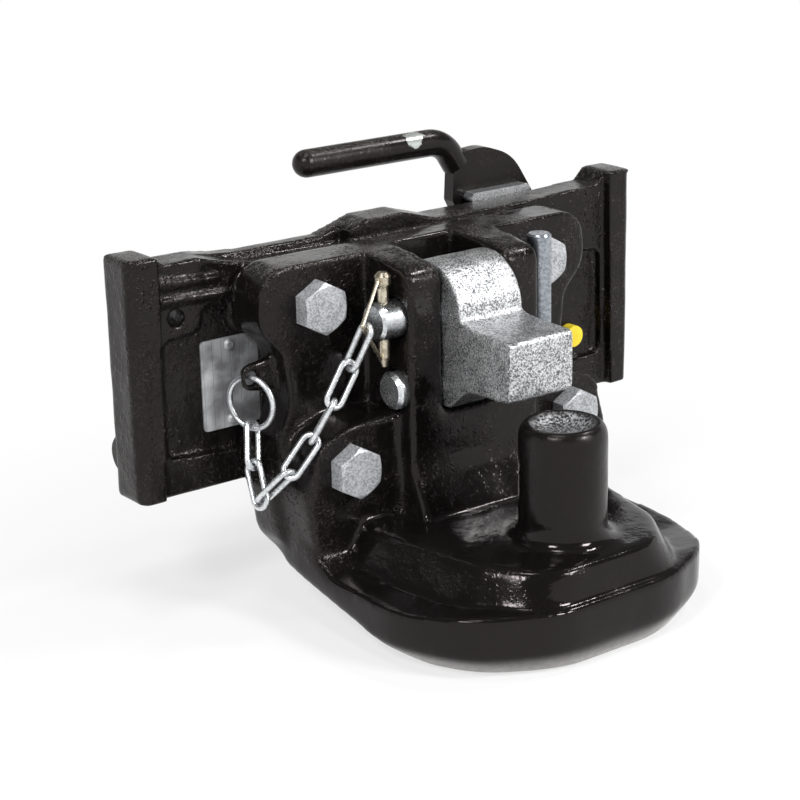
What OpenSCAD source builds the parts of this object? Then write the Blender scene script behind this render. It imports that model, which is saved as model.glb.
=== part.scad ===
// Piton drawbar coupling with a swinging keeper, on a slide plate for a hitch frame.
// The origin is on the piton's axis, where its straight wall starts above the ring seat.
// +X is to the right seen from the drawbar, +Y points to the vehicle, +Z is up.

/* [Piton] */
// Diameter of the upright post that carries the drawbar eye
piton_d = 44.5; // [42:0.5:46]
// Height of the post above its base fillet
piton_h = 53; // [47:1:58]
// Radius of the fillet between the post and the ring seat
piton_fillet = 8; // [5:0.5:10]
// Distance from the post's axis to the front of the slide rails
reach = 130; // [126:1:136]

/* [Tongue] */
// Half width of the tongue's front edge
tongue_front_half = 37; // [32:1:42]
// How far the tongue stands out in front of the post's axis
tongue_nose = 43; // [40:1:48]
// Half width of the tongue beside the post
tongue_side_half = 94; // [90:1:96]
// Height of the ring seat above the outer rim
seat_step = 17; // [10:1:18]
// Thickness of the outer rim down to the flat bottom
rim_h = 33; // [28:1:36]
// Bevel along the bottom edge
bottom_bevel = 11; // [6:0.5:12]

/* [Hook flange] */
// Half width of the flange over its upper lobes
flange_half = 106; // [102:1:108]
// Top edge of the flange
flange_top = 125; // [124:1:128]
// Depth of the flange under the upper screw heads
flange_t = 25; // [22:1:28]
// Depth of the shoulder under the lower screw heads
shoulder_t = 51.5; // [48:0.5:54]
// Horizontal distance between the screws
screw_pitch_x = 146; // [142:1:148]
// Vertical distance between the screws
screw_pitch_z = 80; // [78:1:82]
// Height of the lower screws
screw_low_z = 22.5; // [21:0.5:24]

/* [Cheeks and keeper] */
// Width of the keeper
keeper_w = 40.4; // [36:0.2:42]
// Side gap between the keeper and each cheek
keeper_gap = 0.4; // [0.3:0.1:0.8]
// Thickness of each cheek
cheek_t = 21.7; // [20:0.1:22]
// Distance from the rail fronts to the cheek fronts
cheek_reach = 62.3; // [60:0.1:64]
// Diameter of the pivot pin and of the lock pin
pin_d = 20; // [18:0.5:22]
// Radial running clearance of the pins
pin_clear = 0.08; // [0.02:0.01:0.1]
// Distance from the rail fronts to the pin axes
pin_back = 49; // [48:0.5:50]
// Height of the keeper's pivot pin
pivot_z = 95.5; // [95:0.5:97]
// Distance from the pivot pin down to the lock pin
lock_drop = 38; // [37:0.5:40]
// Radius of the keeper's round eye
eye_r = 26; // [24:0.5:26.5]
// Height of the keeper's nose
nose_h = 31.5; // [28:0.5:34]
// Gap between the post's top and the nose
nose_gap = 7.5; // [6:0.5:12]

/* [Slide plate] */
// Width over both rails
plate_w = 330; // [326:1:334]
// Height of the rails
rail_h = 127; // [124:1:130]
// Depth of the rails
rail_t = 25; // [24:0.5:28]
// Width of each rail's front face
rail_w = 15; // [12:0.5:18]
// Lower end of the rails
rail_z0 = 8; // [6:0.5:10]
// Depth by which the web lies behind the rail fronts
web_recess = 5; // [3:0.5:6]
// Further depth of the flat panels beside the flange
panel_recess = 4; // [2:0.5:5]

/* [Locking gear] */
// Diameter of the side locking pins
bolt_d = 25; // [22:0.5:26]
// How far each locking pin stands short of the rail sides
bolt_short = 10; // [8:0.5:12]
// Radius from the rocker's axis to its drive pegs
peg_radius = 16; // [14:0.5:18]
// Full swing of the handle
handle_swing = 55; // [40:1:58]
// Diameter of the handle bar
handle_d = 15; // [13:0.5:17]
// Length of the straight grip
grip_l = 88; // [80:1:100]

/* [Chain] */
// Wire diameter of the chain links
wire_d = 3; // [2.5:0.1:3.4]
// Inner length of one link
link_pitch = 21; // [20.5:0.5:22]
// Outer width of one link
link_w = 11.5; // [11:0.1:12.5]

/* [Hidden] */
$fn = 48;
eps = 0.01;
seat_z = -piton_fillet;
rim_z = seat_z - seat_step;
bottom_z = rim_z - rim_h;
rail_y = reach;
back_y = rail_y + rail_t;
plate_top = rail_z0 + rail_h;
web_y = rail_y + web_recess;
panel_y = web_y + panel_recess;
upper_seat_y = rail_y - flange_t;
lower_seat_y = rail_y - shoulder_t;
shoulder_y = lower_seat_y - 1;
screw_x = screw_pitch_x / 2;
screw_high_z = screw_low_z + screw_pitch_z;
cheek_in = keeper_w / 2 + keeper_gap;
cheek_out = cheek_in + cheek_t;
cheek_y = rail_y - cheek_reach;
pin_y = rail_y - pin_back;
lock_z = pivot_z - lock_drop;
pin_hole_r = pin_d / 2 + pin_clear;
nose_z0 = piton_h + nose_gap;
nose_z1 = nose_z0 + nose_h;
cheek_top = flange_top - 1;
pocket_y = pin_y + eye_r + 7;
pocket_z0 = lock_z - pin_d / 2 - 3;

// Flange screws: hexagon heads on a plain shank that ends inside the slide plate
screw_d = 16;
screw_head_af = 24;
screw_head_h = 10;
screw_hole_r = screw_d / 2 + 0.5;
screw_end_y = back_y - 5;
spot_r = 20;

// Pivot pin, its linch pin and the linch pin's ring
pivot_left_x = -cheek_out - 13;
pivot_head_d = 22;
pivot_head_t = 5;
linch_d = 6;
linch_x = -cheek_out - 6.5;
linch_top_z = pivot_z + 25;
linch_tip_z = pivot_z - 24;
ring_wire = 2.2;

// Lock pin and its upright handle bar
lock_left_x = -cheek_out - 4;
lock_bar_d = 13;
lock_bar_x = cheek_out + 4.5 + lock_bar_d / 2;
lock_bar_top = cheek_top;

// Spring bow of the linch pin, bent over the pivot pin's end: distance from the pin's axis and height
bow_turn = 206.5;
bow_path = [[-4.5, linch_top_z - 4], [5.5, linch_top_z - 4], [22.4, pivot_z + 3],
            [linch_d / 2 + 1.3, linch_tip_z + 4.5]];

// Chain, from the bow round to the split ring on the flange: azimuth and slope of each link
chain_turns = [[140, -65], [185, -55], [145, -60], [170, -50], [125, -45], [75, 55], [55, 55]];
link_play = 0.45;
bend_link = 5;
link_twist = -20;
split_d = 30;
split_wire = 3;

// Locking gear behind the plate, in layers from the plate to the rear
bolt_y = back_y + bolt_d / 2 + 0.5;
bolt_z = 24;
bolt_end_x = plate_w / 2 - bolt_short;
bolt_in_x = 80;
rod_y0 = back_y + 1.5;
rod_t = 5;
lever_y0 = rod_y0 + rod_t + 1.5;
lever_t = 8;
lever_y1 = lever_y0 + lever_t;
tongue_y0 = lever_y1 + 0.8;
tongue_t = 7;
lever_x = 88;
lever_z = plate_top - 22;
arm_r = 28;
peg_d = 10;
peg_slack = 0.6;
stud_d = 10;
stud_clear = 0.2;
half_swing = handle_swing / 2;
rod_dir = [lever_x, lever_z - bolt_z] / norm([lever_x, lever_z - bolt_z]);
arm_angle = atan2(-rod_dir[0], rod_dir[1]) + half_swing;
arm_rest = arm_r * [cos(arm_angle), sin(arm_angle)];
handle_y = (lever_y0 + lever_y1) / 2;
handle_z = lever_z + 47;
handle_bend_x = lever_x - 42;
handle_bend = 18;
handle_slope = 58;
bar_y1 = lever_y0 - 0.3;

// Small things on the web: grease nipple, bare hole and type plate
nipple_x = plate_w / 2 - 41;
nipple_z = rail_z0 + 34;
cap_h = 6.5;
hole_x = -plate_w / 2 + 29;
hole_z = plate_top - 34;
label_w = 34;
label_h = 48;
label_x = -plate_w / 2 + 60;
label_z = rail_z0 + 53;
rivet_drop = label_h / 2 - 4;
guide_z = plate_top - 10;

PAINT = [0.07, 0.07, 0.075];
ZINC = [0.68, 0.70, 0.72];
STEEL = [0.55, 0.56, 0.58];
GOLD = [0.72, 0.66, 0.50];
ALU = [0.72, 0.73, 0.74];
YELLOW = [0.95, 0.78, 0.05];

LINKS = [for (i = [1:len(chain_turns)]) str("chain_link_", i)];

// Outline helpers
function unit(v) = v / norm(v);
function turn(v, a) = [v[0] * cos(a) - v[1] * sin(a), v[0] * sin(a) + v[1] * cos(a)];
function corner(a, b, c, r, n) = unit(a - b) * unit(c - b) < -0.9999 ? [b] :
    let (u = unit(a - b), w = unit(c - b), half = acos(u * w) / 2,
         d = min(r / tan(half), 0.48 * min(norm(a - b), norm(c - b))), rr = d * tan(half),
         m = b + unit(u + w) * rr / sin(half), s = b + u * d - m, e = b + w * d - m,
         a0 = atan2(s[1], s[0]), sweep = (atan2(e[1], e[0]) - a0 + 540) % 360 - 180)
    [for (i = [0:n]) m + rr * [cos(a0 + sweep * i / n), sin(a0 + sweep * i / n)]];
function rounded(p, r, n = 6) =
    [for (i = [0:len(p) - 1])
        each corner(p[(i + len(p) - 1) % len(p)], p[i], p[(i + 1) % len(p)], is_list(r) ? r[i] : r, n)];
function mirrored(r) = concat(r, [for (i = [len(r) - 1:-1:0]) r[i]]);
function both_sides(p) = concat(p, [for (i = [len(p) - 1:-1:0]) [-p[i][0], p[i][1]]]);
function bow_point(i) =
    [linch_x + bow_path[i][0] * cos(bow_turn), pin_y + bow_path[i][0] * sin(bow_turn), bow_path[i][1]];
function bow_leg() = unit(bow_point(3) - bow_point(2));
function link_dir(i) =
    let (a = chain_turns[i - 1][0], e = chain_turns[i - 1][1])
    [cos(e) * cos(a), cos(e) * sin(a), sin(e)];
function spin(v, axis, a) = v * cos(a) + cross(axis, v) * sin(a);
function link_side(i) = i == bend_link ? unit(cross(link_dir(i), link_dir(i + 1)))
    : i > bend_link ? unit(cross(link_dir(i), link_side(i - 1)))
    : spin(unit(cross(link_dir(i), link_side(i + 1))), link_dir(i), link_twist);
function link_start(i) = i == 1 ? bow_point(2) + 5 * bow_leg() - 3.6 * link_dir(1)
    : i == bend_link + 1 ? link_end(i - 1) - 3.6 * link_dir(i)
    : link_end(i - 1) - (wire_d + link_play) * unit(link_dir(i - 1) + link_dir(i));
function link_end(i) = link_start(i) + (link_pitch + wire_d + link_play) * link_dir(i);
function split_low() =
    link_end(len(chain_turns)) - (wire_d / 2 + split_wire / 2 + link_play) * link_dir(len(chain_turns));
function split_turn() = let (n = len(chain_turns), t = cross(link_dir(n), link_side(n))) atan2(t[1], t[0]);
function lug_hole() = split_low() + [0, 0, split_d - split_wire];

module along_x(x0, x1) {
    translate([x0, 0, 0]) rotate([90, 0, 90]) linear_extrude(x1 - x0) children();
}
module along_y(y0, y1) {
    translate([0, y1, 0]) rotate([90, 0, 0]) linear_extrude(y1 - y0) children();
}
module x_rod(x0, x1, y, z, d) {
    translate([x0, y, z]) rotate([0, 90, 0]) cylinder(d = d, h = x1 - x0);
}
module y_rod(x, y0, y1, z, d) {
    translate([x, y0, z]) rotate([-90, 0, 0]) cylinder(d = d, h = y1 - y0);
}
module left_and_right() {
    children();
    mirror([1, 0, 0]) children();
}

// Slide plate
function plate_outline() = let (w = plate_w / 2, z0 = rail_z0, z1 = rail_z0 + rail_h)
    rounded([[-w, z0], [w, z0], [w, z1], [w - rail_w - 1, z1], [w - rail_w - 8, z1 - 7], [88, z1 - 9],
             [28, z1 - 8.5], [6, z1 - 2], [-18, z1 - 2], [-42, z1 - 9.3], [-90, z1 - 9.2], [-106, z1 - 8],
             [-120, z1 - 5.5], [-w + rail_w + 8, z1 - 5.5], [-w + rail_w + 1, z1], [-w, z1]],
            [3, 3, 2.5, 3, 4, 8, 8, 8, 8, 8, 8, 8, 8, 4, 3, 2.5], 4);

module plate_recesses() {
    w = plate_w / 2 - rail_w;
    along_y(rail_y - 1, web_y)
        polygon([[-w, rail_z0 - 1], [w, rail_z0 - 1], [w - 3, plate_top + 9], [-w + 3, plate_top + 9]]);
    left_and_right()
        along_y(rail_y - 1, panel_y)
            polygon(rounded([[-w + 4, rail_z0 + 20], [-86, rail_z0 + 16], [-86, 104], [hole_x + 15, 104],
                             [hole_x + 13, hole_z - 9], [-w + 5, hole_z - 11]], 5, 4));
    along_y(rail_y - 1, back_y - 10)
        polygon([[-124, plate_top - 5], [-103, plate_top - 10.5], [-86, plate_top - 13.3],
                 [-30, plate_top - 14.5], [-30, plate_top + 9], [-124, plate_top + 9]]);
}

// Low ridges across the web above the hole
module web_ridges() {
    for (i = [0:1])
        along_y(web_y - 2, web_y + 1)
            polygon(rounded([[-146, plate_top - 17.5 - 8 * i], [-111 + 10 * i, plate_top - 18.5 - 9 * i],
                             [-111 + 10 * i, plate_top - 16 - 8.5 * i],
                             [-146, plate_top - 13 - 10 * i]], 1.2, 2));
}

module locking_pin_boss(s) {
    along_x(s > 0 ? 94 : -142, s > 0 ? 142 : -94)
        polygon(rounded([[back_y - 3, bolt_z - 24], [bolt_y + 6, bolt_z - 17], [bolt_y + 17, bolt_z - 6],
                         [bolt_y + 17, bolt_z + 6], [bolt_y + 6, bolt_z + 17],
                         [back_y - 3, bolt_z + 24]], [1, 4, 4, 4, 4, 1], 3));
}

module slide_plate() {
    color(PAINT) difference() {
        union() {
            difference() {
                along_y(rail_y, back_y) polygon(plate_outline());
                plate_recesses();
            }
            along_y(rail_y, panel_y + 1) polygon(flange_pad());
            web_ridges();
            for (s = [-1, 1]) locking_pin_boss(s);
            y_rod(0, web_y, rod_y0 - 0.3, bolt_z, 34);
        }
        for (x = [-screw_x, screw_x], z = [screw_low_z, screw_high_z])
            y_rod(x, rail_y - 1, screw_end_y, z, screw_d);
        x_rod(-plate_w / 2 - 1, plate_w / 2 + 1, bolt_y, bolt_z, bolt_d + 2 * pin_clear);
        y_rod(0, web_y + 4, back_y + 9, bolt_z, 12);
        y_rod(lever_x, web_y + 4, back_y + 1, lever_z, 12);
        y_rod(hole_x, rail_y - 1, back_y + 1, hole_z, 9);
        y_rod(nipple_x, rail_y - 1, panel_y + 8, nipple_z, 6);
        along_y(rail_y - 1, panel_y)
            translate([label_x - label_w / 2 - 2, label_z - label_h / 2 - 2])
                square([label_w + 3, label_h + 4]);
        left_and_right()
            translate([plate_w / 2, rail_y, rail_z0 - 1]) rotate(45)
                cube([6, 6, 2 * rail_h], center = true);
    }
}

// Hook body
function flange_points() = [[flange_half - 1, flange_top], [flange_half + 1, 95], [93, 80], [90, 52],
                            [97, 36], [103, 4], [100, -18], [86, -34]];
function flange_radii() = [26, 18, 10, 14, 14, 16, 16, 12];
function flange_outline() = rounded(both_sides(flange_points()), mirrored(flange_radii()), 6);
function flange_pad() =
    rounded(both_sides([for (p = flange_points()) [p[0] - 4, max(p[1], rail_z0) - 3]]), 12, 4);
function shoulder_outline() =
    rounded(both_sides([[cheek_out - 6, lock_z - pin_d / 2 - 1.5], [72, 45], [92, 38], [100, 10],
                        [96, -18], [74, -34]]),
            16, 5);
function tongue_plan(b) =
    rounded(both_sides([[94 - b, rail_y - 2], [97 - b, 96], [97 - b, 60], [tongue_side_half + 1 - b, 15],
                        [tongue_side_half - 16 - b, -23 + b / 2],
                        [tongue_front_half - b / 2, -tongue_nose + 0.4 * b]]),
            mirrored([4, 30, 80, 80, 50, 60]), 6);
function seat_plan(b) =
    rounded(both_sides([[74 + b, 84], [64 + b, 36], [56 + b, -4],
                        [34 + b, -tongue_nose + 8 - b / 3]]), 32, 7);

module slab(z, points) {
    translate([0, 0, z]) linear_extrude(eps) polygon(points);
}

module tongue() {
    intersection() {
        union() {
            translate([0, 0, bottom_z + bottom_bevel])
                linear_extrude(rim_z + 16 - bottom_z - bottom_bevel) polygon(tongue_plan(0));
            hull() {
                slab(bottom_z, tongue_plan(bottom_bevel));
                slab(bottom_z + bottom_bevel, tongue_plan(0));
            }
        }
        along_x(-120, 120)
            polygon([[-tongue_nose - 1, bottom_z], [8, bottom_z], [42, bottom_z + 12.5], [78, bottom_z + 19],
                     [106, bottom_z + 24.5], [rail_y, bottom_z + 36], [rail_y, rim_z + 14], [96, rim_z + 14],
                     [66, rim_z - 2], [10, rim_z - 3.5], [-22, rim_z], [-tongue_nose - 1, rim_z]]);
    }
    hull() {
        slab(rim_z - 4, seat_plan(13));
        slab(seat_z, seat_plan(0));
    }
}

module piton() {
    r = piton_d / 2;
    crown_w = 5.2;
    crown_h = 7.5;
    fillet = [for (i = [0:6]) [r + piton_fillet * (1 - cos(i * 15)), -piton_fillet * sin(i * 15)]];
    crown = [for (i = [0:4]) [r - crown_w + crown_w * sin(i * 22.5),
                              piton_h - crown_h + crown_h * cos(i * 22.5)]];
    rotate_extrude($fn = 72)
        polygon(concat([[0, seat_z - 4], [0, piton_h - 7], [10, piton_h - 6.2], [15, piton_h - 3.5]],
                       crown, fillet,
                       [[r + piton_fillet, seat_z - 4]]));
}

module cheek_profile() {
    polygon(rounded([[cheek_y, seat_z + 6], [cheek_y, cheek_top - 2.5], [pin_y + 8, cheek_top],
                     [upper_seat_y, flange_top],
                     [rail_y - 1, flange_top], [rail_y - 1, seat_z + 6]], [1, 9, 30, 20, 1, 1], 6));
}

module throat_profile() {
    polygon(rounded([[rail_y - 1, pocket_z0], [cheek_y, pocket_z0], [cheek_y, 16], [cheek_y - 14, seat_z - 2],
                     [rail_y - 1, seat_z - 2]], [1, 3, 16, 1, 1], 5));
}

module ring_lug() {
    h = lug_hole();
    along_y(h[1] - 2.5, h[1] + 2.5)
        difference() {
            polygon(rounded([[-84, h[2] - 9], [h[0] - 4, h[2] - 7], [h[0] - 6.5, h[2] + 6],
                             [-84, h[2] + 11]], 5, 4));
            translate([h[0], h[2] - 0.4]) circle(d = 7.5);
        }
}

module hook_body() {
    color(PAINT) difference() {
        union() {
            along_y(upper_seat_y, rail_y) polygon(flange_outline());
            along_y(shoulder_y, rail_y - 1) polygon(shoulder_outline());
            left_and_right() along_x(cheek_in, cheek_out) cheek_profile();
            along_x(-cheek_out, cheek_out) throat_profile();
            tongue();
            piton();
            ring_lug();
        }
        along_x(-cheek_in, cheek_in)
            polygon(rounded([[cheek_y - 9, pocket_z0], [pocket_y - 14, pocket_z0], [pocket_y, pocket_z0 + 14],
                             [pocket_y, flange_top + 9], [cheek_y - 9, flange_top + 9]],
                            [1, 4, 12, 1, 1], 5));
        for (x = [-screw_x, screw_x]) {
            y_rod(x, upper_seat_y - 1, rail_y + 1, screw_high_z, 2 * screw_hole_r);
            y_rod(x, shoulder_y - 1, rail_y + 1, screw_low_z, 2 * screw_hole_r);
            y_rod(x, shoulder_y - 1, lower_seat_y, screw_low_z, 2 * spot_r);
        }
        x_rod(-cheek_out - 1, cheek_out + 1, pin_y, pivot_z, 2 * pin_hole_r);
        x_rod(-cheek_out - 60, cheek_out + 60, pin_y, lock_z, 2 * pin_hole_r);
        x_rod(cheek_out - pivot_head_t, cheek_out + 1, pin_y, pivot_z, pivot_head_d + 0.4);
    }
}

// Keeper: a round eye on the pivot pin, a heel in front of the lock pin, and a nose over the post
function keeper_outline() =
    rounded([[pin_y, pivot_z + eye_r], [cheek_y + 1, pivot_z + 22], [cheek_y - 5, pivot_z + 5],
             [cheek_y - 15, nose_z1 + 1], [15.5, nose_z1], [15.5, nose_z0], [cheek_y - 17, nose_z0 - 2],
             [cheek_y - 2, pocket_z0 + 2], [pin_y - 9, pocket_z0 + 2], [pin_y - 9, lock_z + 4],
             [pin_y, pivot_z - eye_r + 2]], [4, 14, 26, 22, 2.5, 4, 12, 3, 2, 4, 2], 5);

module keeper() {
    color(ZINC) difference() {
        union() {
            along_x(-keeper_w / 2, keeper_w / 2) polygon(keeper_outline());
            x_rod(-keeper_w / 2, keeper_w / 2, pin_y, pivot_z, 2 * eye_r);
        }
        x_rod(-keeper_w, keeper_w, pin_y, pivot_z, 2 * pin_hole_r);
        x_rod(-keeper_w, keeper_w, pin_y, lock_z, pin_d + 0.8);
    }
}

// Pivot pin with its sunk head, held by the linch pin at the left end
module pivot_pin() {
    color(ZINC) difference() {
        union() {
            x_rod(pivot_left_x + 1.5, cheek_out, pin_y, pivot_z, pin_d);
            translate([pivot_left_x, pin_y, pivot_z])
                rotate([0, 90, 0])
                    cylinder(d1 = pin_d - 3, d2 = pin_d, h = 1.5);
            x_rod(cheek_out - pivot_head_t, cheek_out - 0.3, pin_y, pivot_z, pivot_head_d);
        }
        translate([linch_x, pin_y, pivot_z - pin_d]) cylinder(d = linch_d + 0.3, h = 2 * pin_d);
    }
}

module linch_pin() {
    color(GOLD) {
        translate([linch_x, pin_y, linch_tip_z]) cylinder(d1 = linch_d - 2.5, d2 = linch_d, h = 5);
        translate([linch_x, pin_y, linch_tip_z + 5])
            cylinder(d = linch_d, h = linch_top_z - linch_tip_z - 11);
        difference() {
            translate([linch_x, pin_y, linch_top_z - 8]) rotate_extrude()
                polygon([[0, 0], [linch_d / 2, 0], [linch_d / 2 + 1.2, 2], [linch_d / 2 + 1.2, 6],
                         [2.5, 8], [0, 8]]);
            translate([linch_x, pin_y, linch_top_z - 4]) rotate([0, 90, bow_turn])
                cylinder(d = ring_wire, h = 18, center = true);
        }
    }
}

module wire(a, b, d) {
    v = b - a;
    translate(a)
        rotate([0, 0, atan2(v[1], v[0])])
            rotate([0, acos(v[2] / norm(v)), 0])
                cylinder(d = d, h = norm(v), $fn = 20);
}

// The bow starts in the pin's head and snaps beside its tip, round the pivot pin's end
module linch_bow() {
    color(GOLD) {
        for (i = [0:2]) wire(bow_point(i), bow_point(i + 1), ring_wire);
        for (i = [1, 2]) translate(bow_point(i)) sphere(d = ring_wire + 0.2, $fn = 20);
    }
}

module split_ring() {
    color(ZINC)
        translate(split_low() + [0, 0, (split_d - split_wire) / 2])
            rotate([0, 0, split_turn()])
                rotate([90, 0, 0])
                    rotate_extrude($fn = 48)
                        translate([(split_d - split_wire) / 2, 0])
                            circle(d = split_wire, $fn = 16);
}

// One welded link: two straight wires and two half rounds
module chain_link(i) {
    r = (link_w - wire_d) / 2;
    half = (link_pitch + wire_d + link_play) / 2 - r;
    u = link_dir(i);
    v = link_side(i);
    w = cross(u, v);
    c = (link_start(i) + link_end(i)) / 2;
    color(ZINC) multmatrix([[u[0], v[0], w[0], c[0]], [u[1], v[1], w[1], c[1]],
                            [u[2], v[2], w[2], c[2]], [0, 0, 0, 1]]) {
        for (y = [-r, r]) x_rod(-half, half, y, 0, wire_d, $fn = 16);
        for (s = [0, 180]) rotate(s) translate([half, 0, 0])
            rotate(-90) rotate_extrude(angle = 180, $fn = 32) translate([r, 0]) circle(d = wire_d, $fn = 16);
    }
}

// Lock pin with an upright bar welded to its right end
module lock_pin() {
    color(ZINC) {
        x_rod(lock_left_x + 2, lock_bar_x, pin_y, lock_z, pin_d);
        translate([lock_left_x, pin_y, lock_z])
            rotate([0, 90, 0])
                cylinder(d1 = pin_d - 4, d2 = pin_d, h = 2);
    }
}

module lock_pin_bar() {
    color(ZINC) difference() {
        union() {
            translate([lock_bar_x, pin_y, lock_z - 8])
                cylinder(d = lock_bar_d, h = lock_bar_top - lock_z + 7);
            translate([lock_bar_x, pin_y, lock_bar_top - 1])
                cylinder(d1 = lock_bar_d, d2 = lock_bar_d - 2, h = 1);
        }
        x_rod(lock_bar_x - lock_bar_d, lock_bar_x, pin_y, lock_z, pin_d);
    }
}

// Flange screws
module hex_screw(x, seat_y, z) {
    chamfer = 1.5;
    y_rod(x, seat_y - eps, screw_end_y, z, screw_d);
    translate([x, seat_y, z]) rotate([90, 30, 0]) intersection() {
        cylinder(d = screw_head_af / cos(30), h = screw_head_h, $fn = 6);
        union() {
            cylinder(d = screw_head_af / cos(30) + 1, h = screw_head_h - chamfer);
            translate([0, 0, screw_head_h - chamfer])
                cylinder(d1 = screw_head_af / cos(30), d2 = screw_head_af - 1, h = chamfer);
        }
    }
}

module upper_screws() {
    color(ZINC) for (x = [-screw_x, screw_x]) hex_screw(x, upper_seat_y, screw_high_z);
}

module lower_screws() {
    color(ZINC) for (x = [-screw_x, screw_x]) hex_screw(x, lower_seat_y, screw_low_z);
}

// Bare type plate with two rivets
module type_plate() {
    color(ALU) along_y(panel_y - 1, panel_y)
        difference() {
            translate([label_x, label_z])
                polygon(rounded([[-label_w, -label_h] / 2, [label_w, -label_h] / 2, [label_w, label_h] / 2,
                                 [-label_w, label_h] / 2], 2, 3));
            for (s = [-1, 1]) translate([label_x, label_z + s * rivet_drop]) circle(d = 3);
        }
}

module type_plate_rivets() {
    color(ALU) for (s = [-1, 1]) {
        y_rod(label_x, panel_y - 1, panel_y, label_z + s * rivet_drop, 2.9);
        translate([label_x, panel_y - 1, label_z + s * rivet_drop]) rotate([90, 0, 0])
            cylinder(d1 = 6, d2 = 3.5, h = 1.4);
    }
}

// Handle bar: a straight grip with a round end, bent down onto the lever plate
module handle_bar() {
    r = handle_d / 2;
    color(PAINT) translate([handle_bend_x, handle_y, handle_z]) {
        rotate([0, -90, 0]) rotate_extrude()
            polygon(concat([[0, 0], [r, 0]],
                           [for (i = [0:6]) [r * cos(i * 15), grip_l - r + r * sin(i * 15)]]));
        translate([0, 0, -handle_bend]) rotate([-90, 0, 0]) rotate([0, 0, -90])
            rotate_extrude(angle = handle_slope) translate([handle_bend, 0]) circle(r = r);
        translate([handle_bend * sin(handle_slope), 0, -handle_bend + handle_bend * cos(handle_slope)])
            rotate([0, 90 + handle_slope, 0]) cylinder(r = r, h = 7);
    }
}

function lever_outline() =
    rounded([[-28, 13], [-27, 29], [-20, 40], [-5, 41], [15, 34], [29, 12],
             arm_rest + [10, 2], arm_rest + [4, -10],
             [-6, -16], [-18, -6]], [3, 6, 10, 24, 30, 8, 8, 8, 12, 10], 7);

module lever_plate() {
    foot = [handle_bend_x + handle_bend * sin(handle_slope),
            handle_z - handle_bend + handle_bend * cos(handle_slope)];
    color(PAINT) difference() {
        along_y(lever_y0, lever_y1) translate([lever_x, lever_z]) polygon(lever_outline());
        y_rod(lever_x, lever_y0 - 1, lever_y1 + 1, lever_z, 14 + 2 * pin_clear);
        y_rod(lever_x + arm_rest[0], lever_y0 - 1, lever_y1 + 1, lever_z + arm_rest[1], stud_d);
        translate([foot[0], handle_y, foot[1]]) rotate([0, 90 + handle_slope, 0])
            translate([0, 0, -9]) cylinder(d = handle_d, h = 16);
        translate([foot[0], handle_y, foot[1]]) sphere(d = handle_d - 2);
    }
}

module lever_stud() {
    color(STEEL) {
        y_rod(lever_x + arm_rest[0], rod_y0 - 0.4, lever_y1, lever_z + arm_rest[1], stud_d);
        y_rod(lever_x + arm_rest[0], lever_y1, lever_y1 + 2, lever_z + arm_rest[1], stud_d + 5);
    }
}

module lever_spacer() {
    color(STEEL) difference() {
        y_rod(lever_x, back_y, lever_y0 - 0.2, lever_z, 23);
        y_rod(lever_x, back_y - 1, lever_y0 + 1, lever_z, 14.2);
    }
}

module lever_bolt() {
    color(STEEL) {
        y_rod(lever_x, web_y + 4, back_y, lever_z, 12);
        y_rod(lever_x, back_y, lever_y1 + 0.4, lever_z, 14);
        translate([lever_x, lever_y1 + 8.4, lever_z])
            rotate([90, 0, 0])
                cylinder(d = 22 / cos(30), h = 8, $fn = 6);
    }
}

// Bare steel bar between the plate's rear edge and the lever
module guide_bar() {
    color(ZINC) along_y(back_y, bar_y1)
        translate([lever_x, guide_z])
            polygon(rounded([[-19, 0], [20, 0], [22, 2.5], [20, 5.5], [-19, 5.5], [-21, 2.5]], 1.5, 3));
}

// Flat rod that ties the lever to the rocker; its ends stay level with the two axes
module connecting_rod() {
    a = [0, bolt_z] + arm_rest;
    b = [lever_x, lever_z] + arm_rest;
    color(STEEL) along_y(rod_y0, rod_y0 + rod_t)
        difference() {
            hull() {
                for (p = [a, b]) translate(p) circle(d = 18);
            }
            for (p = [a, b]) translate(p) circle(d = stud_d + 2 * stud_clear);
        }
}

// Rocker on the plate's centre, with a peg for each locking pin
function peg_place(s) = [0, bolt_z] + s * turn([0, peg_radius], half_swing);

module rocker() {
    color(STEEL) difference() {
        along_y(lever_y0, lever_y1) union() {
            translate([0, bolt_z]) circle(d = 2 * peg_radius + 16);
            hull() {
                translate([0, bolt_z]) circle(d = 26);
                translate([0, bolt_z] + arm_rest) circle(d = 19);
            }
        }
        y_rod(0, lever_y0 - 1, lever_y1 + 1, bolt_z, 14 + 2 * pin_clear);
        y_rod(0, lever_y1 - 4, lever_y1 + 1, bolt_z, 20.6);
        y_rod(arm_rest[0], lever_y0 - 1, lever_y1 + 1, bolt_z + arm_rest[1], stud_d);
        for (s = [-1, 1]) y_rod(peg_place(s)[0], lever_y0 - 1, lever_y1 + 1, peg_place(s)[1], peg_d);
    }
}

module rocker_pegs() {
    color(STEEL) for (s = [-1, 1])
        y_rod(peg_place(s)[0], lever_y0, tongue_y0 + tongue_t + 1, peg_place(s)[1], peg_d);
}

module rocker_stud() {
    color(STEEL) y_rod(arm_rest[0], rod_y0 - 0.4, lever_y1, bolt_z + arm_rest[1], stud_d);
}

module rocker_bolt() {
    color(STEEL) {
        y_rod(0, web_y + 4, rod_y0 - 0.3, bolt_z, 12);
        y_rod(0, rod_y0 - 0.3, lever_y1 - 4, bolt_z, 14);
        y_rod(0, lever_y1 - 4, lever_y1 - 0.4, bolt_z, 20);
    }
}

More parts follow.
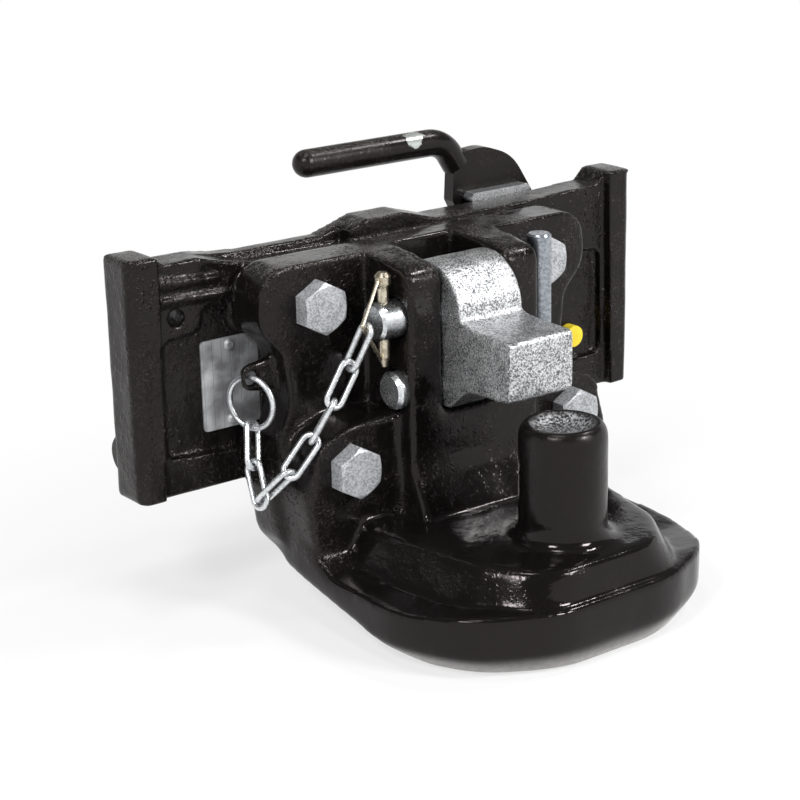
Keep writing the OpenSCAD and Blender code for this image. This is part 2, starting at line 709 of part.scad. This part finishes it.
// Locking pin with a flat tongue that takes the rocker's peg in an upright slot
module locking_pin(s) {
    peg = peg_place(-s);
    z_mid = bolt_z - s * (peg_radius * (1 + cos(half_swing)) / 2);
    slot_h = peg_d + 8;
    slot_w = peg_d + 2 * peg_slack;
    tip_x = peg[0] - s * (slot_w / 2 + 6);
    color(ZINC) {
        difference() {
            union() {
                if (s < 0) {
                    x_rod(-bolt_end_x + 3, -bolt_in_x, bolt_y, bolt_z, bolt_d);
                    translate([-bolt_end_x, bolt_y, bolt_z])
                        rotate([0, 90, 0])
                            cylinder(d1 = bolt_d - 6, d2 = bolt_d, h = 3);
                } else {
                    x_rod(bolt_in_x, bolt_end_x - 3, bolt_y, bolt_z, bolt_d);
                    translate([bolt_end_x - 3, bolt_y, bolt_z])
                        rotate([0, 90, 0])
                            cylinder(d1 = bolt_d, d2 = bolt_d - 6, h = 3);
                }
                translate([min(tip_x, s * (bolt_in_x + 10)), tongue_y0, z_mid - 11])
                    cube([abs(tip_x - s * (bolt_in_x + 10)), tongue_t, 22]);
            }
            translate([peg[0] - slot_w / 2, tongue_y0 - 1, z_mid - slot_h / 2])
                cube([slot_w, tongue_t + 2, slot_h]);
        }
    }
}

module left_locking_pin() {
    locking_pin(-1);
}

module right_locking_pin() {
    locking_pin(1);
}

// Grease nipple in the web, under its cap
module grease_nipple() {
    color(STEEL) {
        y_rod(nipple_x, panel_y - 3, panel_y + 7.5, nipple_z, 6);
        y_rod(nipple_x, panel_y - cap_h + 2.5, panel_y, nipple_z, 9);
    }
}

module nipple_cap() {
    color(YELLOW) difference() {
        y_rod(nipple_x, panel_y - cap_h, panel_y - 0.3, nipple_z, 12.5);
        y_rod(nipple_x, panel_y - cap_h + 2.5, panel_y + 1, nipple_z, 9);
    }
}

slide_plate();
hook_body();
keeper();
pivot_pin();
linch_pin();
linch_bow();
split_ring();
lock_pin();
lock_pin_bar();
upper_screws();
lower_screws();
type_plate();
type_plate_rivets();
handle_bar();
lever_plate();
lever_stud();
lever_spacer();
lever_bolt();
guide_bar();
connecting_rod();
rocker();
rocker_pegs();
rocker_stud();
rocker_bolt();
left_locking_pin();
right_locking_pin();
grease_nipple();
nipple_cap();
for (i = [1:len(chain_turns)])
    chain_link(i);
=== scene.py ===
# %% [markdown]
# A piton drawbar coupling: a cast hook with an upright post, a swinging keeper over the post, and a
# slide plate that carries both. The solids come in as a fixed frame, so every size and joint is settled
# before this lesson starts. What is left to learn here is how rough castings, glossy black paint and
# zinc are made to look real.

# %% Load the frame
import math

import bmesh
import bpy
from mathutils import Matrix, Vector, noise


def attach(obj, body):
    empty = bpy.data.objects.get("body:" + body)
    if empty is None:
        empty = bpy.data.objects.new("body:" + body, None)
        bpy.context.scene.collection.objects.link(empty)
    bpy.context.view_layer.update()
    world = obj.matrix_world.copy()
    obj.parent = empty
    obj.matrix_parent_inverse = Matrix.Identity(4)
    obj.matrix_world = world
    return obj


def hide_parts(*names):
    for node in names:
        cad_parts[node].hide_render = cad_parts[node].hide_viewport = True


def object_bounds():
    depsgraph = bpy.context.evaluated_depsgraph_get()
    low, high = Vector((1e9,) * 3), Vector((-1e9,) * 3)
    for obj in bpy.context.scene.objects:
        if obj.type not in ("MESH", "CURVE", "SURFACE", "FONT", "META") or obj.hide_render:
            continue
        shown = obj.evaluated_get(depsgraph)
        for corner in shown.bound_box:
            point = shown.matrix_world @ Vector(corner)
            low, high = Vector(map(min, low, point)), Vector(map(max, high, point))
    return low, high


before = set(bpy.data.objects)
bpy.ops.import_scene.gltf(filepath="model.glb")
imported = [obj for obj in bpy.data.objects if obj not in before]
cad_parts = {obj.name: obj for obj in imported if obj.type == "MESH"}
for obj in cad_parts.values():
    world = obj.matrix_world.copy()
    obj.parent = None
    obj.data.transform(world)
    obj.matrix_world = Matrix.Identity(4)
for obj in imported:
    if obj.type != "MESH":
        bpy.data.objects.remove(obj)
CAD_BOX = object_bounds()
MM = 0.001

# %% [markdown]
# Shader maths reads best as ordinary arithmetic. `Signal` wraps one output socket and adds a Math node
# for each operator, and `Finish` wraps one material and adds any other node by its type, settings and
# inputs. A finish could also be wired by hand, node after node, but then the idea of the surface is lost
# among the links.

# %% Shader helpers
class Signal:
    """One output socket of a finish; arithmetic on it adds Math nodes."""

    def __init__(self, finish, socket):
        self.finish = finish
        self.socket = socket

    def math(self, operation, other=0.0):
        return self.finish.math(operation, self, other)

    def __add__(self, other):
        return self.math("ADD", other)

    def __sub__(self, other):
        return self.math("SUBTRACT", other)

    def __rsub__(self, other):
        return self.finish.math("SUBTRACT", other, self)

    def __mul__(self, other):
        return self.math("MULTIPLY", other)

    __radd__ = __add__
    __rmul__ = __mul__

    def fade(self, low, high):
        """0 at low, 1 at high, smooth between; low may be the larger one."""
        inputs = {"Value": self, "From Min": low, "From Max": high}
        return self.finish.add("ShaderNodeMapRange", {"interpolation_type": "SMOOTHSTEP"}, inputs)


class Finish:
    """A material with one Principled shader, built up node by node."""

    def __init__(self, name):
        self.material = bpy.data.materials.new(name)
        self.material.use_nodes = True
        self.tree = self.material.node_tree
        self.shader = self.tree.nodes["Principled BSDF"]
        self.place = self.add("ShaderNodeTexCoord", output="Object")

    def add(self, kind, settings=None, inputs=None, output=0):
        node = self.tree.nodes.new(kind)
        for key, value in (settings or {}).items():
            setattr(node, key, value)
        for key, value in (inputs or {}).items():
            self.feed(node.inputs[key], value)
        return Signal(self, node.outputs[output])

    def feed(self, socket, value):
        if isinstance(value, Signal):
            self.tree.links.new(value.socket, socket)
        else:
            socket.default_value = value

    def math(self, operation, a, b):
        return self.add("ShaderNodeMath", {"operation": operation}, {0: a, 1: b})

    def noise(self, size_mm, detail=2.0, roughness=0.5):
        """Cloudy noise whose blobs are about size_mm across."""
        inputs = {"Vector": self.place, "Scale": 1 / (size_mm * MM), "Detail": detail, "Roughness": roughness}
        return self.add("ShaderNodeTexNoise", {}, inputs)

    def axis(self, letter):
        return self.add("ShaderNodeSeparateXYZ", {}, {"Vector": self.place}, letter)

    def facing_up(self):
        """1 on level tops, 0 on upright faces, -1 underneath."""
        normal = self.add("ShaderNodeNewGeometry", output="Normal")
        return self.add("ShaderNodeSeparateXYZ", {}, {"Vector": normal}, "Z")

    def distance_to(self, point):
        inputs = {0: self.place, 1: point}
        return self.add("ShaderNodeVectorMath", {"operation": "DISTANCE"}, inputs, "Value")

    def mix(self, share, a, b):
        """Colour a where share is 0, colour b where it is 1."""
        colours = [c if isinstance(c, Signal) else (*c, 1) for c in (a, b)]
        inputs = {0: share, 6: colours[0], 7: colours[1]}
        return self.add("ShaderNodeMix", {"data_type": "RGBA"}, inputs, 2)

    def bump(self, height, depth_mm, strength, under=None):
        inputs = {"Height": height, "Distance": depth_mm * MM, "Strength": strength}
        if under is not None:
            inputs["Normal"] = under
        return self.add("ShaderNodeBump", {}, inputs)

    def done(self, sockets):
        """Sets or links the shader's sockets and returns the material."""
        for name, value in sockets.items():
            socket = self.shader.inputs[name]
            if socket.type == "RGBA" and isinstance(value, tuple):
                value = (*value, 1)
            self.feed(socket, value)
        return self.material


print("helpers:", Signal.__name__, Finish.__name__)

# %% [markdown]
# The castings are dipped in thick glossy black paint. It follows every grain of the sand mould, so the
# gloss breaks up into small sparkles on rough faces and runs into smooth pools between them. A brown
# speckle shows where the grain does. Patchy grey on the highest faces that look up is partly dust and
# partly a painted sheen, the light on rough tops painted into the colour. A picture of paint could be
# wrapped round instead, but it would stretch on the flanks and bring its own light along. Noise in the
# object's own space does neither, and one slow noise decides where the grain shows.

# %% Black paint
BLACK = (0.0055, 0.0046, 0.0044)
BROWN_SPECKLE = (0.024, 0.019, 0.017)
# The grey below is partly dust and partly a painted sheen, the light on rough tops that look up.
DUST_AND_SHEEN = (0.125, 0.115, 0.107)
DUST_AND_SHEEN_FROM_Z, DUST_AND_SHEEN_FULL_Z = 0.098, 0.112
PAINT_GLEAM = 0.26
PAINT_WARMTH = (1.0, 0.91, 0.90)


def black_paint(name, pool_mm, pool_depth, grain_depth, gloss, calm=None, wear_and_sheen=None):
    """Gloss over sand grain; calm gives the share of grain that is left, and the last function takes paint
    off in places and may paint a sheen on.
    """
    f = Finish(name)
    sand = f.noise(0.9, 2.0, 0.6)
    cloud = f.noise(22)
    grain = 0.15 + 0.85 * cloud.fade(0.40, 0.62)
    if calm is not None:
        grain = grain * calm(f)
    # Lighter on the highest faces that look up: partly dust and partly a painted sheen.
    dust_and_sheen = f.facing_up().fade(0.55, 0.95) * f.axis("Z").fade(DUST_AND_SHEEN_FROM_Z, DUST_AND_SHEEN_FULL_Z)
    dust_and_sheen = dust_and_sheen * sand.fade(0.46, 0.66) * (0.4 + 0.6 * cloud.fade(0.42, 0.62))
    speckle = f.noise(1.5, 3.0, 0.65).fade(0.50, 0.66) * grain
    colour = f.mix(0.9 * dust_and_sheen, f.mix(0.7 * speckle, BLACK, BROWN_SPECKLE), DUST_AND_SHEEN)
    rough = gloss + 0.10 * cloud.fade(0.35, 0.7) + 0.16 * dust_and_sheen
    metal = 0.0
    if wear_and_sheen is not None:
        colour, rough, metal, grain = wear_and_sheen(f, colour, rough, grain)
    pimples = f.noise(2.6).fade(0.56, 0.70)
    pools = f.bump(f.noise(pool_mm, 3.0, 0.55), pool_depth, 0.7)
    relief = f.bump((pimples + 0.5 * sand) * grain, grain_depth, 0.7, pools)
    return f.done({
        "Base Color": colour, "Roughness": rough, "Metallic": metal, "Normal": relief,
        "Specular IOR Level": PAINT_GLEAM, "Specular Tint": PAINT_WARMTH,
    })


plate_paint = black_paint("plate_paint", pool_mm=5.0, pool_depth=0.4, grain_depth=0.90, gloss=0.13)
print("paint:", plate_paint.name)

# %% [markdown]
# Use leaves its marks on the paint. A spot on the handle is rubbed to the metal. The dish on top of the
# post has light-grey flakes, partly bare iron and partly painted glints. The bevel under the tongue is
# lighter and patchy, partly scuffed and partly a painted sheen where its faces mirror the floor. The
# rim, the post and the front of the throat are smoother than the rest of the casting, and the post is
# satin. Such places could be brushed into an image by hand. A fade by distance or height is chosen,
# because it stays sharp at any zoom and needs no unwrapping.

# %% Wear, painted sheen and smooth places
RUBBED_SPOT = Vector((0.033, 0.1615, 0.1660))
RUBBED_EDGE, RUBBED_FULL = 0.0062, 0.0050
RUBBED_METAL = (0.52, 0.55, 0.53)
POST_DISH = Vector((0, 0, 0.0535))
DISH_EDGE, DISH_FULL = 0.0172, 0.0150
# Light grey for the dish on the post: partly bare iron and partly painted glints.
DISH_IRON_AND_GLINTS = (0.42, 0.43, 0.44)
POST_EDGE, POST_FULL = 0.034, 0.026
SATIN_FROM_Z, SATIN_FULL_Z = 0.004, 0.012
SCUFF_AND_SHEEN_TOP_Z, SCUFF_AND_SHEEN_FULL_Z = -0.045, -0.057
# Lighter grey for the bottom bevel: partly a scuff and partly a painted sheen of the mirrored floor.
SCUFF_AND_SHEEN = (0.42, 0.41, 0.40)
RIM_TOP_Z = -0.025
FRONT_TOP_Z, FRONT_FULL_Z = 0.060, 0.045
FRONT_REAR_Y, FRONT_FULL_Y = 0.072, 0.058


def rubbed_handle(f, colour, rough, grain):
    ragged = f.distance_to(RUBBED_SPOT) + 0.010 * (f.noise(5, 3.0) - 0.5)
    rubbed = ragged.fade(RUBBED_EDGE, RUBBED_FULL)
    return f.mix(rubbed, colour, RUBBED_METAL), rough, 0.6 * rubbed, grain


def near_post(f):
    """1 at the post, whose axis is the z axis, and 0 a little way off."""
    flat = f.add("ShaderNodeVectorMath", {"operation": "MULTIPLY"}, {0: f.place, 1: (1, 1, 0)})
    off_axis = f.add("ShaderNodeVectorMath", {"operation": "LENGTH"}, {0: flat}, "Value")
    return off_axis.fade(POST_EDGE, POST_FULL)


def calm_hook(f):
    rim = f.axis("Z").fade(RIM_TOP_Z + 4 * MM, RIM_TOP_Z - 3 * MM)
    front = f.axis("Z").fade(FRONT_TOP_Z, FRONT_FULL_Z) * f.axis("Y").fade(FRONT_REAR_Y, FRONT_FULL_Y)
    return (1 - 0.9 * rim) * (1 - 0.65 * near_post(f)) * (1 - 0.75 * front)


def hook_wear_and_sheen(f, colour, rough, grain):
    # The downward faces of the bevel get lighter and patchy: partly scuff, partly painted sheen.
    scuff_and_sheen = f.axis("Z").fade(SCUFF_AND_SHEEN_TOP_Z, SCUFF_AND_SHEEN_FULL_Z) * f.facing_up().fade(0.0, -0.5)
    colour = f.mix(scuff_and_sheen * (0.5 + 0.5 * f.noise(3, 3.0)), colour, SCUFF_AND_SHEEN)
    bare = f.distance_to(POST_DISH).fade(DISH_EDGE, DISH_FULL)
    # Light-grey flakes in the dish: partly bare iron and partly painted glints.
    flakes = bare * f.noise(1.3, 3.0, 0.65).fade(0.44, 0.58)
    satin = near_post(f) * f.axis("Z").fade(SATIN_FROM_Z, SATIN_FULL_Z)
    rough = rough + 0.14 * satin + 0.12 * bare
    return f.mix(flakes, colour, DISH_IRON_AND_GLINTS), rough, 0.8 * flakes, grain + bare


hook_paint = black_paint("hook_paint", pool_mm=13.0, pool_depth=0.45, grain_depth=0.55, gloss=0.10,
                         calm=calm_hook, wear_and_sheen=hook_wear_and_sheen)
bar_paint = black_paint("bar_paint", pool_mm=7.0, pool_depth=0.10, grain_depth=0.10, gloss=0.22,
                        wear_and_sheen=rubbed_handle)
print("paints:", hook_paint.name, bar_paint.name)

# %% [markdown]
# Zinc comes in several tempers here. The keeper is a rough casting under zinc, which glitters grain by
# grain. The screws are grey and matt, with darker specks. Chain and pins are bright, the linch pin has a
# yellow passivation, and the pivot pin's right end was painted along with the hook. Each could have a
# material of its own, but they differ only in colour, gloss and grain, so one function makes them all.

# %% Zinc finishes
def zinc(name, light, dark, gloss, grain_mm, grain_depth, speck=0.5, metallic=1.0, paint_from_x=None):
    f = Finish(name)
    grain = f.noise(grain_mm, 3.0, 0.6)
    flakes = {"Vector": f.place, "Scale": 1 / (0.7 * grain_mm * MM)}
    flake = f.add("ShaderNodeTexVoronoi", {"feature": "F1"}, flakes, "Color")
    tone = f.add("ShaderNodeSeparateColor", {}, {"Color": flake}, "Red")
    cloud = f.noise(grain_mm * 9)
    shade = (tone * speck + grain * (1 - speck)).fade(0.26, 0.68) * 0.8 + cloud.fade(0.3, 0.7) * 0.2
    colour = f.mix(shade, dark, light)
    if paint_from_x is not None:
        painted = f.axis("X").fade(paint_from_x - 1 * MM, paint_from_x)
        colour = f.mix(painted, colour, BLACK)
        metallic = metallic * (1 - painted)
    rough = gloss + 0.16 * (1 - tone) + 0.08 * cloud
    relief = f.bump(grain * 0.7 + tone * 0.3, grain_depth, 0.6)
    return f.done({"Base Color": colour, "Roughness": rough, "Metallic": metallic, "Normal": relief})


# light and dark colour, gloss, then the size and depth of the grain in mm
keeper_zinc = zinc("keeper_zinc", (0.90, 0.91, 0.92), (0.06, 0.063, 0.067), 0.24, 0.85, 0.60, 0.65, 0.90)
screw_zinc = zinc("screw_zinc", (0.60, 0.61, 0.63), (0.26, 0.27, 0.28), 0.34, 1.2, 0.20, metallic=0.35)
bright_zinc = zinc("bright_zinc", (0.82, 0.84, 0.85), (0.56, 0.58, 0.60), 0.18, 1.6, 0.06, metallic=0.9)
yellow_zinc = zinc("yellow_zinc", (0.72, 0.66, 0.53), (0.42, 0.36, 0.27), 0.18, 2.2, 0.05)
pin_zinc = zinc("pin_zinc", (0.76, 0.78, 0.79), (0.52, 0.54, 0.56), 0.16, 1.6, 0.06, paint_from_x=0.03)
bar_zinc = zinc("bar_zinc", (0.42, 0.45, 0.49), (0.22, 0.24, 0.27), 0.20, 1.6, 0.06)
oiled_steel = zinc("oiled_steel", (0.34, 0.34, 0.35), (0.16, 0.155, 0.15), 0.30, 1.8, 0.08)
print("zinc finishes: 7")

# %% [markdown]
# The type plate is bare rolled aluminium. Rolling leaves fine lines along the sheet, and a blank plate
# has faint ruled rows. The cap on the grease nipple is soft yellow plastic. The lines could be cut into
# the meshes, but they are far shallower than a hair, so bump alone is enough for them.

# %% Aluminium and plastic
ROW_PITCH_MM = 5.5


def rolled_aluminium():
    f = Finish("rolled_aluminium")
    stretch = f.add("ShaderNodeMapping", {}, {"Vector": f.place, "Scale": (60.0, 60.0, 2600.0)})
    roll = f.add("ShaderNodeTexNoise", {}, {"Vector": stretch, "Scale": 1.0, "Detail": 2.0})
    row = (f.axis("X") * (1 / (ROW_PITCH_MM * MM))).math("FRACT")
    rule = row.fade(0.10, 0.05)
    smudge = f.noise(9, 3.0)
    colour = f.mix(smudge.fade(0.35, 0.7), (0.26, 0.26, 0.27), (0.52, 0.53, 0.54))
    colour = f.mix(rule * 0.6, colour, (0.16, 0.16, 0.17))
    rough = 0.34 + 0.14 * smudge
    relief = f.bump(roll, 0.05, 0.4, f.bump(1 - rule, 0.15, 0.6))
    return f.done({"Base Color": colour, "Roughness": rough, "Metallic": 0.3, "Normal": relief})


def cap_plastic():
    f = Finish("cap_plastic")
    skin = f.noise(0.8)
    colour = f.mix(f.noise(7).fade(0.3, 0.7), (0.92, 0.66, 0.020), (0.97, 0.76, 0.035))
    relief = f.bump(skin, 0.06, 0.4)
    return f.done({"Base Color": colour, "Roughness": 0.42 + 0.1 * skin, "Normal": relief})


plate_aluminium = rolled_aluminium()
yellow_plastic = cap_plastic()
print("finishes:", plate_aluminium.name, yellow_plastic.name)

# %% [markdown]
# A casting has no sharp edge anywhere: the mould rounds every corner, fillets every root and leaves the
# faces a little wavy. Bevelling a merged solid edge by edge breaks where faces meet at odd angles. A
# voxel remesh followed by smoothing rounds everything at once, and small noise along the normals gives
# the waviness.

# %% Cast skins
MERGE_MM = 0.001


def rounded_mesh(node, voxel_mm, passes):
    """A node's mesh, merged, rebuilt from voxels and smoothed."""
    bm = bmesh.new()
    bm.from_mesh(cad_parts[node].data)
    bmesh.ops.remove_doubles(bm, verts=bm.verts, dist=MERGE_MM * MM)
    merged = bpy.data.meshes.new(node + "_merged")
    bm.to_mesh(merged)
    bm.free()
    blank = bpy.data.objects.new(node + "_blank", merged)
    bpy.context.scene.collection.objects.link(blank)
    mould = blank.modifiers.new("mould", "REMESH")
    mould.mode = "VOXEL"
    mould.voxel_size = voxel_mm * MM
    ease = blank.modifiers.new("ease", "SMOOTH")
    ease.factor = 0.5
    ease.iterations = passes
    depsgraph = bpy.context.evaluated_depsgraph_get()
    mesh = bpy.data.meshes.new_from_object(blank.evaluated_get(depsgraph))
    bpy.data.objects.remove(blank)
    return mesh


def cast_skin(name, node, body, material, voxel_mm, passes, wave_mm, wave_size_mm):
    """A rounded, slightly wavy copy of a node that stands for it."""
    mesh = rounded_mesh(node, voxel_mm, passes)
    mesh.name = name
    normals = [v.normal.copy() for v in mesh.vertices]
    for v, normal in zip(mesh.vertices, normals):
        v.co += normal * (wave_mm * MM * noise.noise(v.co / (wave_size_mm * MM)))
    mesh.polygons.foreach_set("use_smooth", [True] * len(mesh.polygons))
    mesh.materials.clear()
    mesh.materials.append(material)
    piece = bpy.data.objects.new(name, mesh)
    bpy.context.scene.collection.objects.link(piece)
    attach(piece, body)
    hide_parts(node)
    print(name, "faces:", len(mesh.polygons))
    return piece


hook_casting = cast_skin("hook_casting", "hook_body", "hook", hook_paint,
                         voxel_mm=1.45, passes=5, wave_mm=0.14, wave_size_mm=15)
cast_skin("plate_casting", "slide_plate", "hook", plate_paint,
          voxel_mm=1.3, passes=2, wave_mm=0.25, wave_size_mm=14)
cast_skin("keeper_casting", "keeper", "keeper", keeper_zinc,
          voxel_mm=0.8, passes=15, wave_mm=0.15, wave_size_mm=9)

# %% [markdown]
# The hook's fillets are not all alike. The pattern maker left them wide on the ring seat and in the
# throat, along the underside and on the cheeks, while the rim of the tongue is crisp. Smoothing the
# whole skin more would melt the rim, so only the points in chosen places are smoothed again.

# %% Wider fillets on the hook
POST_FOOT_RADIUS = 0.0255
POST_FOOT_Z = 0.004
THROAT_TOP_Z = 0.058
THROAT_REAR_Y = 0.085
TONGUE_HALF_WIDTH = 0.062
BEVEL_TOP_Z = RIM_TOP_Z - 11 * MM
FLANK_FRONT_Y, FLANK_TOP_Z, FLANK_INNER_X = 0.045, 0.030, 0.050
CHEEK_FOOT_Z, CHEEK_REAR_Y, CHEEK_OUTER_X = 0.060, 0.088, 0.050


def on_tongue(place):
    """True on the seat, the post's foot and the throat, above the crisp rim."""
    beside_post = math.hypot(place.x, place.y) > POST_FOOT_RADIUS or place.z < POST_FOOT_Z
    in_height = RIM_TOP_Z + 1.5 * MM < place.z < THROAT_TOP_Z
    return beside_post and in_height and place.y < THROAT_REAR_Y and abs(place.x) < TONGUE_HALF_WIDTH


def on_underside(place):
    """True on the lower bevel and on the flanks behind the tongue."""
    on_flank = place.y > FLANK_FRONT_Y and place.z < FLANK_TOP_Z and abs(place.x) > FLANK_INNER_X
    return place.z < BEVEL_TOP_Z or on_flank


def on_cheeks(place):
    """True on the two cheeks that carry the keeper."""
    return place.z > CHEEK_FOOT_Z and place.y < CHEEK_REAR_Y and abs(place.x) < CHEEK_OUTER_X


def soften(piece, passes, wanted):
    """Widens the fillets of a skin where wanted(place) holds."""
    bm = bmesh.new()
    bm.from_mesh(piece.data)
    chosen = [v for v in bm.verts if wanted(v.co)]
    axes = {"use_axis_x": True, "use_axis_y": True, "use_axis_z": True}
    for _ in range(passes):
        bmesh.ops.smooth_vert(bm, verts=chosen, factor=0.5, **axes)
    bm.to_mesh(piece.data)
    bm.free()
    print(wanted.__name__, "softened points:", len(chosen))


soften(hook_casting, 14, on_tongue)
soften(hook_casting, 14, on_underside)
soften(hook_casting, 12, on_cheeks)

# %% [markdown]
# Screws, pins, chain, handle and linkage are turned, bent or cut from bar, so their solids already have
# the right shape, and they only take a finish. Copies could be made and bevelled, but these edges are
# crisp on the real parts too. A table from finish to node names is enough.

# %% Finishes of the plain solids
CHAIN = [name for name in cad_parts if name.startswith("chain_link_")]
FINISHES = [
    (bright_zinc, CHAIN + ["split_ring", "lock_pin", "guide_bar"]),
    (bar_zinc, ["lock_pin_bar"]),
    (pin_zinc, ["pivot_pin"]),
    (screw_zinc, ["upper_screws", "lower_screws"]),
    (yellow_zinc, ["linch_pin", "linch_bow"]),
    (plate_aluminium, ["type_plate", "type_plate_rivets"]),
    (bar_paint, ["handle_bar", "lever_plate", "left_locking_pin", "right_locking_pin"]),
    (oiled_steel, ["lever_stud", "lever_spacer", "lever_bolt", "connecting_rod", "rocker", "rocker_pegs"]),
    (oiled_steel, ["rocker_stud", "rocker_bolt", "grease_nipple"]),
    (yellow_plastic, ["nipple_cap"]),
]
for finish, names in FINISHES:
    for name in names:
        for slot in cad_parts[name].material_slots:
            slot.material = finish
print("finished nodes:", sum(len(names) for finish, names in FINISHES))

# %% [markdown]
# The camera looks from in front, from the left and a little above, with a long lens and a slight tilt.
# It could be dragged into place by eye. An azimuth, an elevation and a distance to a point inside the
# object are used instead, because they can be read and repeated exactly.

# %% Camera
AIM = Vector((-0.03298, 0.0900, 0.04775))
AZIMUTH, ELEVATION, ROLL = -36.29, 18.32, -1.24
DISTANCE = 1.05221
LENS_MM, SENSOR_MM = 91.7, 36


def direction(azimuth, elevation):
    """Unit vector out from the part; 0, 0 is straight in front, and the angles are degrees."""
    a, e = math.radians(azimuth), math.radians(elevation)
    return Vector((math.sin(a) * math.cos(e), -math.cos(a) * math.cos(e), math.sin(e)))


back = direction(AZIMUTH, ELEVATION)
right = direction(AZIMUTH + 90, 0)
level = Matrix((right, back.cross(right), back)).transposed()
tilted = level @ Matrix.Rotation(math.radians(ROLL), 3, "Z")
camera_data = bpy.data.cameras.new("camera")
camera_data.sensor_width = SENSOR_MM
camera_data.lens = LENS_MM
camera = bpy.data.objects.new("camera", camera_data)
camera.matrix_world = Matrix.Translation(AIM + back * DISTANCE) @ tilted.to_4x4()
bpy.context.scene.collection.objects.link(camera)
bpy.context.scene.camera = camera
print("camera at", [round(c, 3) for c in camera.matrix_world.translation])

# %% [markdown]
# The part stands on a white paper floor inside a round white paper wall. Paper that is only lit gets
# white when the lamps are so strong that they burn out the zinc. So this paper is white by itself to the
# camera, to mirrors and through glass, and close to the part a share of plain lit paper keeps the
# shadow.

# %% Paper floor and wall
FLOOR_Z = CAD_BOX[0][2] - 0.5 * MM
FLOOR_HALF_SIZE = 8
WALL_RADIUS, WALL_HEIGHT = 2.9, 1.25
PAPER_WHITE = (0.92, 0.92, 0.92)
RAYS_THAT_SEE = ("Is Camera Ray", "Is Glossy Ray", "Is Transmission Ray")
OWN_WHITE_NEAR_PART = 0.70
SHADOW_MIDDLE = Vector((-0.02, 0.06, FLOOR_Z))
SHADOW_NEAR, SHADOW_FAR = 0.12, 0.42


def white_paper():
    f = Finish("white_paper")
    f.done({"Base Color": PAPER_WHITE, "Roughness": 0.9})
    plain = Signal(f, f.shader.outputs[0])
    glow = f.add("ShaderNodeEmission", {}, {"Color": (1, 1, 1, 1), "Strength": 1.0})
    rays = [f.add("ShaderNodeLightPath", output=name) for name in RAYS_THAT_SEE]
    seen = (rays[0] + rays[1] + rays[2]).math("MINIMUM", 1.0)
    far = f.distance_to(SHADOW_MIDDLE).fade(SHADOW_NEAR, SHADOW_FAR)
    share = seen * (OWN_WHITE_NEAR_PART + (1 - OWN_WHITE_NEAR_PART) * far)
    surface = f.add("ShaderNodeMixShader", {}, {0: share, 1: plain, 2: glow})
    f.feed(f.tree.nodes["Material Output"].inputs["Surface"], surface)
    return f.material


def set_up(name, bm, material):
    """Puts a sheet into the studio at the floor's height, with no body as its parent."""
    bmesh.ops.translate(bm, verts=bm.verts, vec=(0, 0, FLOOR_Z))
    mesh = bpy.data.meshes.new(name)
    bm.to_mesh(mesh)
    bm.free()
    mesh.materials.append(material)
    paper_piece = bpy.data.objects.new(name, mesh)
    bpy.context.scene.collection.objects.link(paper_piece)


paper = white_paper()
floor = bmesh.new()
bmesh.ops.create_grid(floor, x_segments=1, y_segments=1, size=FLOOR_HALF_SIZE)
set_up("floor", floor, paper)
wall = bmesh.new()
wall_size = {"radius1": WALL_RADIUS, "radius2": WALL_RADIUS, "depth": 2 * WALL_HEIGHT}
bmesh.ops.create_cone(wall, segments=96, **wall_size)
set_up("backdrop", wall, paper)
print("paper:", paper.name, "floor at", round(FLOOR_Z, 4))

# %% [markdown]
# Black gloss shows only what it mirrors. Upright faces mirror the white paper and turn grey, faces that
# look up mirror the dim sky above the wall and stay black, and rounded edges carry small bright spots
# from four lamp boxes. One large lamp would be simpler, but it would lay a grey veil over whole faces.

# %% Lamp boxes and sky
SKY = 0.16
LAMP_BOXES = [  # name, azimuth, elevation, distance, size, watts
    ("left_box", -64, 42, 1.6, 0.30, 11),
    ("right_box", 72, 54, 1.6, 0.20, 7),
    ("front_box", 24, 32, 1.6, 0.34, 17),
    ("top_box", -60, 76, 1.5, 0.30, 4),
]


def lamp_box(name, azimuth, elevation, distance, size, watts):
    """A square lamp box that looks at the part's middle."""
    toward = direction(azimuth, elevation)
    data = bpy.data.lights.new(name, "AREA")
    data.shape = "SQUARE"
    data.size = size
    data.energy = watts
    lamp = bpy.data.objects.new(name, data)
    turn = (-toward).to_track_quat("-Z", "Y").to_matrix().to_4x4()
    lamp.matrix_world = Matrix.Translation(AIM + toward * distance) @ turn
    bpy.context.scene.collection.objects.link(lamp)


for box in LAMP_BOXES:
    lamp_box(*box)
world = bpy.data.worlds.new("studio")
bpy.context.scene.world = world
world.use_nodes = True
background = world.node_tree.nodes["Background"]
background.inputs["Color"].default_value = (1, 1, 1, 1)
background.inputs["Strength"].default_value = SKY
bpy.context.scene.view_settings.view_transform = "Standard"
print("lamp boxes:", len(LAMP_BOXES))
